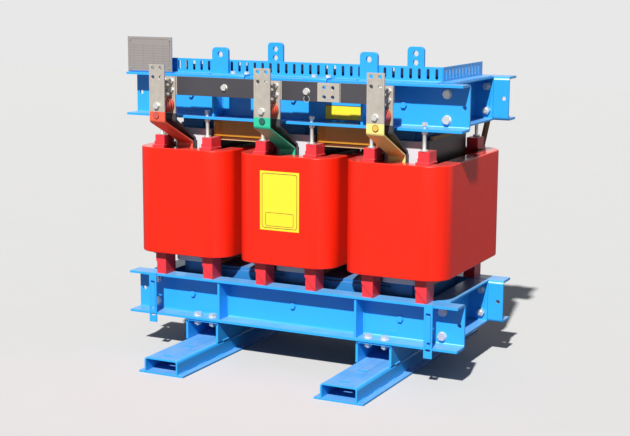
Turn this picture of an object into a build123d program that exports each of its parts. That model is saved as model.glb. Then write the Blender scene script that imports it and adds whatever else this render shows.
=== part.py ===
"""Three-phase cast-resin dry type transformer with an open core frame.

Frame of the part: +X along the row of coils, -Y towards the low-voltage side,
+Z up.  The origin is on the floor under the middle of the core.  Millimetres.
"""
import math
import os

from build123d import *

# ---------------------------------------------------------------- driving sizes
PITCH = 400.0          # limb centre to limb centre
FIT = 0.3              # running clearance between pieces that only touch

# skid feet and the raising channels that stand on them
FOOT_GAUGE = 660.0     # centre to centre of the two feet
FOOT_LEN = 1050.0
FOOT_W = 130.0
FOOT_H = 55.0
FOOT_WALL = 6.0
FOOT_LIP = 22.0        # base plate showing on each side of the foot
FOOT_SLOT_D = 14.0
FOOT_SLOT_IN = (47.0, 184.0)   # slots from the foot's end
SPACER_H = 75.0
SPACER_WALL = 8.0

# clamp channels
CLAMP_BEYOND = 225.0   # clamp beyond the outer limbs' centres
CLAMP_H = 150.0
CLAMP_T = 8.0
PACK_T = 27.0          # insulation between the core and each clamp
CLAMP_FLANGE = 67.0    # flange beyond the web's outer face
CLAMP_GAP_Z = 560.0    # between bottom clamps' top and top clamps' bottom
CLAMP_BEND = 6.0
RIB_T = 8.0
RIB_X = 278.0
END_HOLE_IN = 18.0     # hole from the clamp's end
END_HOLE_D = 15.0

# end members between the front and rear clamps
END_WEB_IN = 120.0     # pressed web from the clamp's end
END_LIP = 66.0
END_T = 6.0
END_BOLT_IN = 76.0     # bolts from the clamp's end
END_BOLT_DZ = 82.0
END_BOLT_D = 16.0

# core
LIMB_W = 124.0
CORE_D = 320.0
YOKE_H = 126.0
CORE_STEP = 10.0
YOKE_LIFT = 30.0       # top of the bottom yoke above the bottom clamps
TIE_T = 8.0
TIE_W = 60.0

# coils: rounded rectangles in plan
HV_W = 363.0
HV_D = 581.0
HV_R = 78.0
HV_BUILD = 56.0
HV_H = 372.0
LV_BUILD = 16.0
LV_CLEAR_X = 4.0       # between the limb and the low-voltage coil
LV_CLEAR_Y = 7.0       # between the tie plate and the low-voltage coil
LV_GAP = 12.0          # between a yoke and the low-voltage coil
LV_R = 30.0

# resin support blocks
BLOCK_W = 41.0
BLOCK_D = 64.0
BLOCK_INSET = 4.0      # block face behind the flange tips
BLOCK_X = 95.0
BLOCK_LIP = 3.0
BLOCK_LIP_FRONT = 9.0
BLOCK_LIP_T = 7.0
BLOCK_FACET = 6.0
LOW_BLOCK_H = 82.0
TOP_BLOCK_H = 41.0
PRESS_D = 12.0
PRESS_INSET = 19.0     # stud behind the flange tips
PRESS_X = 92.0

# low-voltage bars
BAR_W = 60.0
BAR_T = 6.0
BAR_X = -11.0          # bar centre from its limb centre
BRACKET_T = 6.0
BRACKET_CLEAR = 2.0    # neutral bracket in front of the flange tips
PHASE_BAR_TOP = 1030.0
BAR_BEND_Z = 838.0
BAR_FOOT_Z = 755.0
PHASE_INS_L = 62.0
PHASE_INS_D = 54.0
PHASE_BOLT_Z = 892.0
BAR_HOLE_D = 13.0
BAR_HOLE_X = 30.0
BAR_HOLE_Z = 31.0
NEUTRAL_Z = 956.0
NEUTRAL_PAD_X = 194.0
NEUTRAL_PAD_W = 78.0
NEUTRAL_SUPPORT_X = (-192.0, 114.0)
NEUTRAL_INS_L = 50.0
NEUTRAL_INS_D = 50.0

# slotted tray of angle on the top clamps
TRAY_IN = 97.0         # tray end from the clamp's end
TRAY_INSET = 5.0       # upright leg behind the clamp web's face
TRAY_H = 50.0
TRAY_BASE = 40.0
TRAY_T = 3.0
SLOT_PITCH = 30.0
SLOT_W = 10.0
SLOT_H = 34.0

# lifting lugs
LUG_X = 278.0
LUG_W = 63.0
LUG_T = 12.0
LUG_H = 92.0
LUG_R = 14.0
LUG_HOLE_D = 20.0
LUG_HOLE_Z = 24.0      # hole centre below the lug's top
LUG_HOLE_DZ = 32.0
LUG_FOOT = 40.0        # welded length below the top flange

# nameplate and small plates
NAME_W = 180.0
NAME_H = 118.0
NAME_T = 1.5
LABEL_W = 132.0
LABEL_H = 48.0
FLAT_IN = 99.0         # flat from the clamp's end
FLAT_W = 30.0
FLAT_T = 5.0
FLAT_DROP = 27.0
FLAT_SLOT = (18.0, 5.0)

# high-voltage side
BOSS_D = 44.0
BOSS_L = 30.0
BOSS_X = 76.0
BOSS_Z = 40.0          # boss centre from the coil's end
PANEL = (150.0, 200.0, 14.0)
TAP_X = 35.0
TAP_Z = 60.0
TAP_D = 10.0
HV_STUD_D = 12.0
HV_ROD_D = 14.0
POST_D = 44.0
HV_TAB_CLEAR = 7.5     # first tab behind the coil bosses
POST_STUD = 10.0       # first tab behind the posts
POST_X = 124.0
POST_Z = 11.0          # post centre above the middle of the top clamp

# sheets and sleeves
SHEET_T = 3.0
SHEET_H = 63.0
STRIP_H = 10.0
SLEEVE_T = 1.2
SLEEVE_FIT = 0.2
SLEEVE_TOP_Z = 862.0
LABEL_COIL = (147.0, 200.0, 0.6)

# ---------------------------------------------------------------- worked-out sizes
CLAMP_LEN = 2 * (PITCH + CLAMP_BEYOND)
CLAMP_WEB_Y = CORE_D / 2 + PACK_T + CLAMP_T
END_HOLE_X = CLAMP_LEN / 2 - END_HOLE_IN
END_WEB_X = CLAMP_LEN / 2 - END_WEB_IN
END_BOLT_X = CLAMP_LEN / 2 - END_BOLT_IN
TRAY_X = CLAMP_LEN / 2 - TRAY_IN
TRAY_Y = CLAMP_WEB_Y - TRAY_INSET
FLAT_X = CLAMP_LEN / 2 - FLAT_IN
SPACER_LEN = 2 * (CLAMP_WEB_Y + CLAMP_FLANGE - CLAMP_BEND)
BLOCK_FRONT = CLAMP_WEB_Y + CLAMP_FLANGE - BLOCK_INSET
PRESS_Y = CLAMP_WEB_Y + CLAMP_FLANGE - PRESS_INSET
Z_FOOT = FOOT_H
Z_LOW0 = Z_FOOT + SPACER_H
Z_LOW1 = Z_LOW0 + CLAMP_H
Z_TOP0 = Z_LOW1 + CLAMP_GAP_Z
Z_TOP1 = Z_TOP0 + CLAMP_H
FLANGE_Y = CLAMP_WEB_Y + CLAMP_FLANGE
WEB_IN = CLAMP_WEB_Y - CLAMP_T
Z_WIN0 = Z_LOW1 + YOKE_LIFT
Z_WIN1 = Z_TOP0 - YOKE_LIFT
Z_HV0 = Z_LOW1 + LOW_BLOCK_H
Z_HV1 = Z_HV0 + HV_H
Z_LV0 = Z_WIN0 + LV_GAP
Z_LV1 = Z_WIN1 - LV_GAP
LV_W = LIMB_W + 2 * (LV_CLEAR_X + LV_BUILD)
LV_D = CORE_D + 2 * (TIE_T + LV_CLEAR_Y + LV_BUILD)
LIMBS = {"u": -PITCH, "v": 0.0, "w": PITCH}
Z_LOW_MID = (Z_LOW0 + Z_LOW1) / 2
Z_TOP_MID = (Z_TOP0 + Z_TOP1) / 2
NEUTRAL_Y = FLANGE_Y + BRACKET_CLEAR + BRACKET_T + NEUTRAL_INS_L + BAR_T
STAR_BAR_Y = NEUTRAL_Y + BAR_T
PHASE_BAR_Y = STAR_BAR_Y + PHASE_INS_L + BAR_T
STAR_BAR_TOP = NEUTRAL_Z + BAR_W / 2

os.makedirs("parts", exist_ok=True)


# ---------------------------------------------------------------- small helpers
def box(x0, x1, y0, y1, z0, z1):
    """Block between two corners."""
    return Pos((x0 + x1) / 2, (y0 + y1) / 2, (z0 + z1) / 2) * Box(
        abs(x1 - x0), abs(y1 - y0), abs(z1 - z0)
    )


def rod_y(x, z, y0, y1, d):
    """Round bar along Y."""
    return Pos(x, (y0 + y1) / 2, z) * Rot(90, 0, 0) * Cylinder(d / 2, abs(y1 - y0))


def rod_z(x, y, z0, z1, d):
    """Round bar along Z."""
    return Pos(x, y, (z0 + z1) / 2) * Cylinder(d / 2, abs(z1 - z0))


def hex_z(x, y, z0, z1, af):
    """Hexagon prism along Z, af across the flats."""
    sk = RegularPolygon(af / math.sqrt(3), 6)
    return Pos(x, y, min(z0, z1)) * extrude(sk, abs(z1 - z0))


def hex_y(x, z, y0, y1, af):
    """Hexagon prism along Y, af across the flats."""
    sk = RegularPolygon(af / math.sqrt(3), 6)
    return Pos(x, max(y0, y1), z) * Rot(90, 0, 0) * extrude(sk, abs(y1 - y0))


def bolt_y(x, z, y_head, y_end, d, side):
    """Bolt along Y: head outside y_head, nut and tail past y_end; side is -1 or 1."""
    af = 1.5 * d
    washer = rod_y(x, z, y_head, y_head + side * 0.17 * d, 1.9 * d)
    head = hex_y(x, z, y_head + side * 0.17 * d, y_head + side * 0.8 * d, af)
    shank = rod_y(x, z, y_head + side * 0.1, y_end - side * 1.1 * d, d)
    nut = hex_y(x, z, y_end, y_end - side * 0.8 * d, af)
    return shank + washer + head + nut


def bolt_z(x, y, z_head, z_end, d, up=1):
    """Bolt along Z: head above z_head (below it for up=-1), nut past z_end."""
    af = 1.5 * d
    washer = rod_z(x, y, z_head, z_head + up * 0.17 * d, 1.9 * d)
    head = hex_z(x, y, z_head + up * 0.17 * d, z_head + up * 0.8 * d, af)
    shank = rod_z(x, y, z_head + up * 0.1, z_end - up * 1.1 * d, d)
    nut = hex_z(x, y, z_end, z_end - up * 0.8 * d, af)
    return shank + washer + head + nut


def ring(w, d, r, build, z0, z1):
    """Coil body: rounded rectangle w x d with a wall of the given build."""
    outer = RectangleRounded(w, d, r)
    inner = RectangleRounded(w - 2 * build, d - 2 * build, max(r - build, 8.0))
    return Pos(0, 0, z0) * extrude(outer - inner, z1 - z0)


def save(shape, name):
    """One STEP file for each node; several separate solids stay a group."""
    export_step(shape, os.path.join("parts", name + ".step"))


def group(solids):
    """Separate solids of one kind in one node."""
    flat = []
    for item in solids:
        flat.extend(item.solids())
    return Compound(children=flat)


def bent(points, t, r, plane, w0, w1):
    """Bent sheet: a centre line of 2-D points with inner bend radius r.

    plane "yz" takes points (y, z) and runs along X; "xz" takes (x, z) and runs
    along Y; "xy" takes (x, y) and runs along Z.
    """
    rc = r + t / 2

    def lift(p):
        if plane == "yz":
            return (w0, p[0], p[1])
        if plane == "xz":
            return (p[0], w0, p[1])
        return (p[0], p[1], w0)

    sides = {1: [], -1: []}
    count = len(points)
    dirs = []
    for a, b in zip(points[:-1], points[1:]):
        ln = math.hypot(b[0] - a[0], b[1] - a[1])
        dirs.append(((b[0] - a[0]) / ln, (b[1] - a[1]) / ln))
    for s in (1, -1):
        u = dirs[0]
        start = (points[0][0] - s * u[1] * t / 2, points[0][1] + s * u[0] * t / 2)
        path = [start]
        for i in range(1, count - 1):
            u, v = dirs[i - 1], dirs[i]
            cross = u[0] * v[1] - u[1] * v[0]
            turn = 1 if cross > 0 else -1
            ang = math.acos(max(-1.0, min(1.0, u[0] * v[0] + u[1] * v[1])))
            run = rc * math.tan(ang / 2)
            px, py = points[i]
            t1 = (px - u[0] * run, py - u[1] * run)
            t2 = (px + v[0] * run, py + v[1] * run)
            cx = t1[0] - turn * u[1] * rc
            cy = t1[1] + turn * u[0] * rc
            k = (rc - s * turn * t / 2) / rc
            d = math.hypot(px - cx, py - cy)
            mid = (cx + (px - cx) / d * rc * k, cy + (py - cy) / d * rc * k)
            a1 = (cx + (t1[0] - cx) * k, cy + (t1[1] - cy) * k)
            a2 = (cx + (t2[0] - cx) * k, cy + (t2[1] - cy) * k)
            path.append((a1, mid, a2))
        v = dirs[-1]
        path.append((points[-1][0] - s * v[1] * t / 2, points[-1][1] + s * v[0] * t / 2))
        sides[s] = path
    edges = []
    ends = {}
    for s in (1, -1):
        path = sides[s]
        here = path[0]
        ends[s] = (path[0], path[-1])
        for item in path[1:-1]:
            a1, mid, a2 = item
            edges.append(Line(lift(here), lift(a1)))
            edges.append(ThreePointArc(lift(a1), lift(mid), lift(a2)))
            here = a2
        edges.append(Line(lift(here), lift(path[-1])))
    edges.append(Line(lift(ends[1][0]), lift(ends[-1][0])))
    edges.append(Line(lift(ends[1][1]), lift(ends[-1][1])))
    face = Face(Wire(edges))
    way = {"yz": (1, 0, 0), "xz": (0, 1, 0), "xy": (0, 0, 1)}[plane]
    return extrude(face, amount=w1 - w0, dir=way)


def rear(shape):
    """The same piece on the high-voltage side."""
    return mirror(shape, about=Plane.XZ)


def other_end(shape):
    """The same piece at the other end of the row."""
    return mirror(shape, about=Plane.YZ)


# ---------------------------------------------------------------- skid feet, spacers
FOOT_X = FOOT_GAUGE / 2
FOOT_BOLT_D = 16.0
FOOT_BOLT_DX = 30.0
FOOT_BOLT_Y = CLAMP_WEB_Y + 37.0
FOOT_SLOT = (34.0, FOOT_SLOT_D)
FOOT_SLOT_Y = tuple(FOOT_LEN / 2 - inset for inset in FOOT_SLOT_IN)


def skid_foot(x):
    """Inverted channel welded to a wider base plate, open at both ends."""
    half = (FOOT_W - FOOT_WALL) / 2
    top = FOOT_H - FOOT_WALL / 2
    y = FOOT_LEN / 2
    line = [(x - half, FOOT_WALL - 1), (x - half, top), (x + half, top), (x + half, FOOT_WALL - 1)]
    body = bent(line, FOOT_WALL, 5.0, "xz", -y, y)
    body += box(x - FOOT_W / 2 - FOOT_LIP, x + FOOT_W / 2 + FOOT_LIP, -y, y, 0, FOOT_WALL)
    for side in (-1, 1):
        for off in FOOT_SLOT_Y:
            cut = Pos(x, side * off, FOOT_H - 2 * FOOT_WALL) * extrude(SlotOverall(*FOOT_SLOT), 3 * FOOT_WALL)
            body -= cut
    return body


def foot_spacer(x):
    """Inverted channel between the foot and the bottom clamps."""
    half = (FOOT_W - SPACER_WALL) / 2
    top = Z_LOW0 - SPACER_WALL / 2
    length = SPACER_LEN / 2
    line = [(x - half, Z_FOOT), (x - half, top), (x + half, top), (x + half, Z_FOOT)]
    body = bent(line, SPACER_WALL, 6.0, "xz", -length, length)
    for dx in (-FOOT_BOLT_DX, FOOT_BOLT_DX):
        for side in (-1, 1):
            y = side * FOOT_BOLT_Y
            body -= rod_z(x + dx, y, Z_LOW0 - 2 * SPACER_WALL, Z_LOW0 + 5, FOOT_BOLT_D + 2 * FIT)
    return body


save(skid_foot(-FOOT_X), "skid_foot_left")
save(skid_foot(FOOT_X), "skid_foot_right")
save(foot_spacer(-FOOT_X), "foot_spacer_left")
save(foot_spacer(FOOT_X), "foot_spacer_right")

foot_bolts = []
for x in (-FOOT_X, FOOT_X):
    for dx in (-FOOT_BOLT_DX, FOOT_BOLT_DX):
        for side in (-1, 1):
            y = side * FOOT_BOLT_Y
            foot_bolts.append(bolt_z(x + dx, y, Z_LOW0 + CLAMP_T, Z_LOW0 - SPACER_WALL, FOOT_BOLT_D))
save(group(foot_bolts), "foot_bolts")

# ---------------------------------------------------------------- clamps
TIE_BOLT_D = 12.0
NEUTRAL_BRACKET_W = 85.0
BRACKET_BOLT_D = 10.0
BRACKET_BOLT_DX = 26.0
BRACKET_BOLT_Y = CLAMP_WEB_Y + 26.0


def clamp(z0, top):
    """Front clamp channel; its flanges point away from the core."""
    mid = CLAMP_WEB_Y - CLAMP_T / 2
    z1 = z0 + CLAMP_H
    h = CLAMP_T / 2
    line = [(-FLANGE_Y, z0 + h), (-mid, z0 + h), (-mid, z1 - h), (-FLANGE_Y, z1 - h)]
    x = CLAMP_LEN / 2
    body = bent(line, CLAMP_T, CLAMP_BEND, "yz", -x, x)
    out, back = -CLAMP_WEB_Y - CLAMP_T, -WEB_IN + CLAMP_T
    for sx in (-1, 1):
        rib_x = sx * (RIB_X if top else RIB_X - 16)
        rib = box(rib_x - RIB_T / 2, rib_x + RIB_T / 2, -FLANGE_Y + CLAMP_BEND, -WEB_IN - 2, z0 + 2, z1 - 2)
        body += rib
        body -= rod_y(sx * END_HOLE_X, (z0 + z1) / 2, out, back, END_HOLE_D)
        for dz in (-END_BOLT_DZ / 2, END_BOLT_DZ / 2):
            z = (z0 + z1) / 2 + dz
            body -= rod_y(sx * END_BOLT_X, z, out, back, END_BOLT_D + 2 * FIT)
    for lx in LIMBS.values():
        body -= rod_y(lx, (z0 + z1) / 2, out, back, TIE_BOLT_D + 2 * FIT)
    return body


low_clamp = clamp(Z_LOW0, False)
for x in (-FOOT_X, FOOT_X):
    for dx in (-FOOT_BOLT_DX, FOOT_BOLT_DX):
        low_clamp -= rod_z(x + dx, -FOOT_BOLT_Y, Z_LOW0 - 5, Z_LOW0 + 2 * CLAMP_T, FOOT_BOLT_D + 2 * FIT)
save(low_clamp, "bottom_clamp_front")
save(rear(low_clamp), "bottom_clamp_rear")

TRAY_FOOT_Y = TRAY_Y + TRAY_BASE

top_clamp = clamp(Z_TOP0, True)
for lx in LIMBS.values():
    for dx in (-PRESS_X, PRESS_X):
        top_clamp -= rod_z(lx + dx, -PRESS_Y, Z_TOP0 - 5, Z_TOP0 + 2 * CLAMP_T, PRESS_D + 2 * FIT)
lug_gap = LUG_W / 2 + FIT
for sx in (-1, 1):
    x = sx * LUG_X
    top_clamp -= box(x - lug_gap, x + lug_gap, -CLAMP_WEB_Y - LUG_T - FIT, -CLAMP_WEB_Y,
                     Z_TOP1 - LUG_FOOT - FIT, Z_TOP1 + 5)
top_clamp_rear = rear(top_clamp)
for x in NEUTRAL_SUPPORT_X:
    for dx in (-BRACKET_BOLT_DX, BRACKET_BOLT_DX):
        top_clamp -= rod_z(x + dx, -BRACKET_BOLT_Y, Z_TOP1 - 2 * CLAMP_T, Z_TOP1 + 5, BRACKET_BOLT_D + 2 * FIT)
save(top_clamp, "top_clamp_front")
save(top_clamp_rear, "top_clamp_rear")


# ---------------------------------------------------------------- end members
def end_member(z0):
    """Pressed plate between the clamps with flanges turned outwards all round."""
    z1 = z0 + CLAMP_H
    inner = END_WEB_X - END_T
    outer = END_WEB_X + END_LIP
    body = box(inner, outer, -WEB_IN, WEB_IN, z0, z1)
    body -= box(END_WEB_X, outer + 1, -WEB_IN + END_T, WEB_IN - END_T, z0 + END_T, z1 - END_T)
    for side in (-1, 1):
        y0, y1 = side * (WEB_IN - END_T - 3), side * (WEB_IN + 3)
        for dz in (-END_BOLT_DZ / 2, END_BOLT_DZ / 2):
            body -= rod_y(END_BOLT_X, (z0 + z1) / 2 + dz, y0, y1, END_BOLT_D + 2 * FIT)
    return body


for z0, name in ((Z_LOW0, "bottom"), (Z_TOP0, "top")):
    member = end_member(z0)
    save(member, name + "_end_member_right")
    save(other_end(member), name + "_end_member_left")
    bolts = []
    for sx in (-1, 1):
        for side in (-1, 1):
            for dz in (-END_BOLT_DZ / 2, END_BOLT_DZ / 2):
                z = z0 + CLAMP_H / 2 + dz
                head, end = side * CLAMP_WEB_Y, side * (WEB_IN - END_T)
                bolts.append(bolt_y(sx * END_BOLT_X, z, head, end, END_BOLT_D, side))
    save(group(bolts), name + "_end_bolts")


# ---------------------------------------------------------------- core
def yoke(z0):
    """Laminated yoke, stepped once on each face."""
    z1 = z0 + YOKE_H
    x = PITCH + LIMB_W / 2
    y = CORE_D / 2
    body = box(-x, x, -y + CORE_STEP, y - CORE_STEP, z0, z1)
    body += box(-x + CORE_STEP, x - CORE_STEP, -y, y, z0 + CORE_STEP, z1 - CORE_STEP)
    return body


core = yoke(Z_WIN0 - YOKE_H)
for x in LIMBS.values():
    w = LIMB_W / 2
    y = CORE_D / 2
    core += box(x - w, x + w, -y + CORE_STEP, y - CORE_STEP, Z_WIN0 - 1, Z_WIN1)
    for side in (-1, 1):
        core += box(x - w + CORE_STEP, x + w - CORE_STEP, side * y, side * (y - CORE_STEP),
                    Z_WIN0 - CORE_STEP - 1, Z_WIN1 + CORE_STEP)
save(core, "core")
save(yoke(Z_WIN1), "top_yoke")

TIE_Y = CORE_D / 2
TIE_END = 22.0
ties = []
for x in LIMBS.values():
    plate = box(x - TIE_W / 2, x + TIE_W / 2, -TIE_Y - TIE_T, -TIE_Y,
                Z_LOW_MID - TIE_END, Z_TOP_MID + TIE_END)
    for z in (Z_LOW_MID, Z_TOP_MID):
        plate -= rod_y(x, z, -TIE_Y - 2 * TIE_T, -TIE_Y + TIE_T, TIE_BOLT_D + 2 * FIT)
    ties.append(plate)
    ties.append(rear(plate))
save(group(ties), "tie_plates")

tie_bolts = []
for x in LIMBS.values():
    for z in (Z_LOW_MID, Z_TOP_MID):
        bolt = rod_y(x, z, -CLAMP_WEB_Y, -CLAMP_WEB_Y - 2, 1.9 * TIE_BOLT_D)
        bolt += hex_y(x, z, -CLAMP_WEB_Y - 2, -CLAMP_WEB_Y - 10, 1.5 * TIE_BOLT_D)
        bolt += rod_y(x, z, -CLAMP_WEB_Y - 1, -TIE_Y - 1, TIE_BOLT_D)
        tie_bolts.append(bolt)
        tie_bolts.append(rear(bolt))
save(group(tie_bolts), "tie_bolts")

PACK_H = 64.0
pads = []
for z in (Z_LOW_MID, Z_TOP_MID):
    for x in LIMBS.values():
        pad = box(x - TIE_W / 2, x + TIE_W / 2, -WEB_IN, -TIE_Y - TIE_T, z - PACK_H / 2, z + PACK_H / 2)
        pad -= rod_y(x, z, -WEB_IN - 5, -TIE_Y + 5, TIE_BOLT_D + 2 * FIT)
        pads.append(pad)
        pads.append(rear(pad))
    for sx in (-1, 1):
        half = TIE_W / 2 + 10
        strip = box(sx * half, sx * (PITCH - half), -WEB_IN, -TIE_Y, z - PACK_H / 2, z + PACK_H / 2)
        pads.append(strip)
        pads.append(rear(strip))
packing = pads

# ---------------------------------------------------------------- coils
HV_BACK = HV_D / 2
Z_HV_MID = (Z_HV0 + Z_HV1) / 2
HV_SIDE = {"u": -1, "v": 1, "w": 1}
for phase, x in LIMBS.items():
    lv = Pos(x, 0, 0) * ring(LV_W, LV_D, LV_R, LV_BUILD, Z_LV0, Z_LV1)
    save(lv, "lv_coil_" + phase)
    hv = ring(HV_W, HV_D, HV_R, HV_BUILD, Z_HV0, Z_HV1)
    rims = hv.faces().filter_by(Axis.Z).edges()
    hv = fillet(rims, 4.0)
    panel = box(-PANEL[0] / 2, PANEL[0] / 2, HV_BACK - 5, HV_BACK + PANEL[2],
                Z_HV_MID - PANEL[1] / 2, Z_HV_MID + PANEL[1] / 2)
    panel = fillet(panel.edges().filter_by(Axis.Y), 12.0)
    hv += panel
    side = HV_SIDE[phase]
    for bx, bz in ((side * BOSS_X, Z_HV1 - BOSS_Z), (-side * BOSS_X, Z_HV0 + BOSS_Z)):
        hv += rod_y(bx, bz, HV_BACK - 5, HV_BACK + BOSS_L, BOSS_D)
    save(Pos(x, 0, 0) * hv, "hv_coil_" + phase)

strips = []
for x in LIMBS.values():
    for sx in (-1, 1):
        mid = x + sx * (LV_W - LV_BUILD) / 2
        y = CORE_D / 2 - 24
        half = LV_BUILD / 2 - 2
        strips.append(box(mid - half, mid + half, -y, y, Z_WIN0, Z_LV0))
        strips.append(box(mid - half, mid + half, -y, y, Z_LV1, Z_WIN1))
save(group(packing + strips), "packing")

# ---------------------------------------------------------------- resin blocks
BLOCK_BACK = BLOCK_FRONT - BLOCK_D
LOW_PAD_Z = Z_HV0 - BLOCK_LIP_T
TOP_PAD_Z = Z_HV1 + BLOCK_LIP_T
TOP_BLOCK_Z = Z_HV1 + TOP_BLOCK_H


def wedge(x, z_right, z_left, up):
    """Cutter for the slanting facet on a block's front face."""
    half = BLOCK_W / 2
    y = -BLOCK_FRONT
    pts = [
        (x + half + 1, y - 5, z_right),
        (x - half - 1, y - 5, z_right),
        (x - half - 1, y - 5, z_left),
    ]
    face = Face(Wire.make_polygon([Vector(*p) for p in pts], close=True))
    return extrude(face, amount=5 + BLOCK_FACET, dir=(0, 1, 0))


low_blocks, top_blocks, low_pads, top_pads = [], [], [], []
for lx in LIMBS.values():
    for sx in (-1, 1):
        x = lx + sx * BLOCK_X
        half = BLOCK_W / 2
        low = box(x - half, x + half, -BLOCK_FRONT, -BLOCK_BACK, Z_LOW1, LOW_PAD_Z)
        low -= wedge(x, Z_LOW1 - 1, Z_LOW1 + 0.58 * LOW_BLOCK_H, True)
        low_blocks += [low, rear(low)]
        pad = box(x - half - BLOCK_LIP, x + half + BLOCK_LIP,
                  -BLOCK_FRONT - BLOCK_LIP_FRONT, -BLOCK_BACK, LOW_PAD_Z, Z_HV0)
        low_pads += [pad, rear(pad)]
        top = box(x - half, x + half, -BLOCK_FRONT, -BLOCK_BACK, TOP_PAD_Z, TOP_BLOCK_Z)
        top -= wedge(x, TOP_BLOCK_Z + 1, TOP_BLOCK_Z - 0.58 * TOP_BLOCK_H, False)
        top_blocks += [top, rear(top)]
        pad = box(x - half - BLOCK_LIP, x + half + BLOCK_LIP,
                  -BLOCK_FRONT - BLOCK_LIP_FRONT, -BLOCK_BACK, Z_HV1, TOP_PAD_Z)
        top_pads += [pad, rear(pad)]
save(group(low_blocks), "low_blocks")
save(group(top_blocks), "top_blocks")
save(group(low_pads + top_pads), "block_pads")

studs = []
for lx in LIMBS.values():
    for dx in (-PRESS_X, PRESS_X):
        for side in (-1, 1):
            x, y = lx + dx, side * PRESS_Y
            stud = rod_z(x, y, TOP_BLOCK_Z, Z_TOP0 + CLAMP_T + 16, PRESS_D)
            stud += hex_z(x, y, Z_TOP0 + CLAMP_T + 10, Z_TOP0 + CLAMP_T + 20, 1.5 * PRESS_D)
            stud += hex_z(x, y, Z_TOP0 - 0.8 * PRESS_D, Z_TOP0, 1.5 * PRESS_D)
            stud += rod_z(x, y, TOP_BLOCK_Z, TOP_BLOCK_Z + 6, 2 * PRESS_D)
            studs.append(stud)
save(group(studs), "press_studs")

# ---------------------------------------------------------------- low-voltage bars
BAR_BACK_Y = (HV_D / 2 - HV_BUILD + LV_D / 2) / 2
BAR_END_Z = Z_HV1 - 34.0


def bar_line(front, top):
    """Bend line of a bar: upright terminal, slope back, drop between the coils."""
    y = -front + BAR_T / 2
    back = -(BAR_BACK_Y + (8.0 if front > STAR_BAR_Y + 1 else -8.0))
    knee = BAR_FOOT_Z + (0.0 if front > STAR_BAR_Y + 1 else 10.0)
    return [(y, top), (y, BAR_BEND_Z), (back, knee), (back, BAR_END_Z)]


def phase_holes(bar, x, y, top):
    """Four-hole terminal pattern near the top of a bar."""
    for dx in (-BAR_HOLE_X / 2, BAR_HOLE_X / 2):
        for dz in (0, BAR_HOLE_Z):
            bar -= rod_y(x + dx, top - 12.0 - dz, y - 10, y + 10, BAR_HOLE_D)
    return bar


BAR_R = 8.0
ins_phase, ins_bolts, sleeves = [], [], []
for phase, lx in LIMBS.items():
    x = lx + BAR_X
    w = BAR_W / 2
    bar = bent(bar_line(PHASE_BAR_Y, PHASE_BAR_TOP), BAR_T, BAR_R, "yz", x - w, x + w)
    bar = phase_holes(bar, x, -PHASE_BAR_Y, PHASE_BAR_TOP)
    bar -= rod_y(x, PHASE_BOLT_Z, -PHASE_BAR_Y - 10, -PHASE_BAR_Y + 10, 12 + 2 * FIT)
    save(bar, "lv_bar_" + phase)
    star = bent(bar_line(STAR_BAR_Y, STAR_BAR_TOP), BAR_T, BAR_R, "yz", x - w, x + w)
    for dx in (-BAR_HOLE_X / 2, BAR_HOLE_X / 2):
        for dz in (-BAR_HOLE_X / 2, BAR_HOLE_X / 2):
            star -= rod_y(x + dx, NEUTRAL_Z + dz, -STAR_BAR_Y - 10, -STAR_BAR_Y + 10, 10 + 2 * FIT)
            ins_bolts.append(bolt_y(x + dx, NEUTRAL_Z + dz, -STAR_BAR_Y, -NEUTRAL_Y + BAR_T, 10, -1))
    star -= rod_y(x, PHASE_BOLT_Z, -STAR_BAR_Y - 10, -STAR_BAR_Y + 10, 12 + 2 * FIT)
    save(star, "star_bar_" + phase)
    run = bar_line(STAR_BAR_Y, SLEEVE_TOP_Z)
    run[-1] = (run[-1][0], Z_HV1 - 8)
    g, h = SLEEVE_FIT + SLEEVE_T, SLEEVE_FIT
    jacket = bent(run, BAR_T + 2 * g, BAR_R - g, "yz", x - w - g, x + w + g)
    longer = [(run[0][0], run[0][1] + 5)] + run[1:-1] + [(run[-1][0], run[-1][1] - 5)]
    jacket -= bent(longer, BAR_T + 2 * h, BAR_R - h, "yz", x - w - h, x + w + h)
    sleeves.append(jacket)
    y0, y1 = -PHASE_BAR_Y + BAR_T, -STAR_BAR_Y
    body = rod_y(x, PHASE_BOLT_Z, y0, y1, PHASE_INS_D - 8)
    for k in range(4):
        c = y0 + (k + 0.5) * PHASE_INS_L / 4
        body += rod_y(x, PHASE_BOLT_Z, c - 4, c + 4, PHASE_INS_D)
    body -= rod_y(x, PHASE_BOLT_Z, y0 - 1, y1 + 1, 12 + 2 * FIT)
    ins_phase.append(body)
    ins_bolts.append(bolt_y(x, PHASE_BOLT_Z, -PHASE_BAR_Y, -STAR_BAR_Y + BAR_T, 12, -1))

# ---------------------------------------------------------------- neutral bar
n0 = -PITCH + BAR_X - BAR_W / 2
n1 = PITCH + BAR_X + BAR_W / 2
neutral = box(n0, n1, -NEUTRAL_Y, -NEUTRAL_Y + BAR_T, NEUTRAL_Z - BAR_W / 2, NEUTRAL_Z + BAR_W / 2)
for lx in LIMBS.values():
    for dx in (-BAR_HOLE_X / 2, BAR_HOLE_X / 2):
        for dz in (-BAR_HOLE_X / 2, BAR_HOLE_X / 2):
            x = lx + BAR_X + dx
            neutral -= rod_y(x, NEUTRAL_Z + dz, -NEUTRAL_Y - 5, -NEUTRAL_Y + 15, 10 + 2 * FIT)
for x in NEUTRAL_SUPPORT_X:
    neutral -= rod_y(x, NEUTRAL_Z, -NEUTRAL_Y - 5, -NEUTRAL_Y + 15, 12 + 2 * FIT)
pad_holes = [(dx, dz) for dx in (-BAR_HOLE_X / 2, BAR_HOLE_X / 2) for dz in (-15.0, 15.0)]
for dx, dz in pad_holes:
    neutral -= rod_y(NEUTRAL_PAD_X + dx, NEUTRAL_Z + dz, -NEUTRAL_Y - 5, -NEUTRAL_Y + 15, BAR_HOLE_D)
save(neutral, "neutral_bar")


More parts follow.
